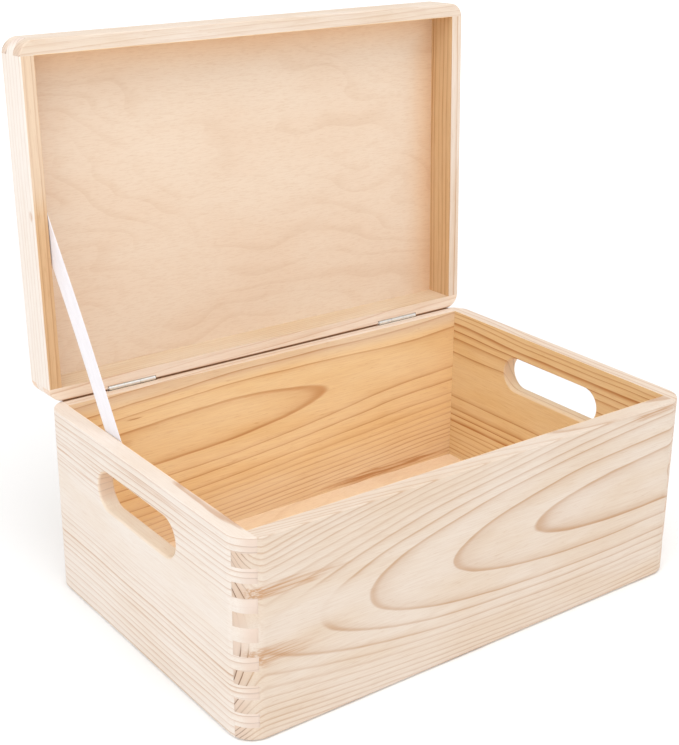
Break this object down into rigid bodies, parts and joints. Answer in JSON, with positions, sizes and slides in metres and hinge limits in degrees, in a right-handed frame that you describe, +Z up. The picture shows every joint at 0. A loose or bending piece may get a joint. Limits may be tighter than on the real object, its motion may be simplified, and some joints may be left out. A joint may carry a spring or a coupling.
{
  "type": "wooden toy box",
  "caption": "Finger-jointed pine storage box with a hinged, panelled lid held open by a white ribbon, and a stadium handle slot in each end.",
  "frame": {"origin": "centre of the box body's flat base, on the surface it stands on", "axes": "+Z up, +X to the right along the length, -Y the front, +Y the hinge side"},
  "size_m": [0.3, 0.228, 0.3073],
  "materials": {
    "body_pine": "unfinished sanded pine, clear growth-ring figure",
    "lid_pine": "unfinished sanded pine, straight grain",
    "plywood": "sanded light plywood with a fine wavy figure",
    "hinge_steel": "nickel-plated pressed steel, satin",
    "screw_steel": "nickel-plated, satin",
    "staple_wire": "galvanised wire",
    "ribbon_fabric": "white woven tape, matt"
  },
  "bodies": {
    "box_body": {"front_wall": "body_pine", "back_wall": "body_pine", "left_wall": "body_pine", "right_wall": "body_pine", "floor_panel": "plywood", "left_hinge_body_leaf": "hinge_steel", "left_hinge_pin": "hinge_steel", "right_hinge_body_leaf": "hinge_steel", "right_hinge_pin": "hinge_steel", "body_hinge_screws": "screw_steel", "lid_ribbon": "ribbon_fabric", "ribbon_body_staple": "staple_wire"},
    "lid": {"lid_front_rail": "lid_pine", "lid_back_rail": "lid_pine", "lid_left_rail": "lid_pine", "lid_right_rail": "lid_pine", "lid_panel": "plywood", "left_hinge_lid_leaf": "hinge_steel", "right_hinge_lid_leaf": "hinge_steel", "lid_hinge_screws": "screw_steel", "ribbon_lid_staple": "staple_wire"}
  },
  "joints": [
    {"name": "lid_hinge", "type": "hinge", "parent": "box_body", "child": "lid", "pos_m": [0, 0.0979, 0.11105], "axis": [1, 0, 0], "range_deg": [0, 92], "deforming": ["lid_ribbon"]}
  ]
}
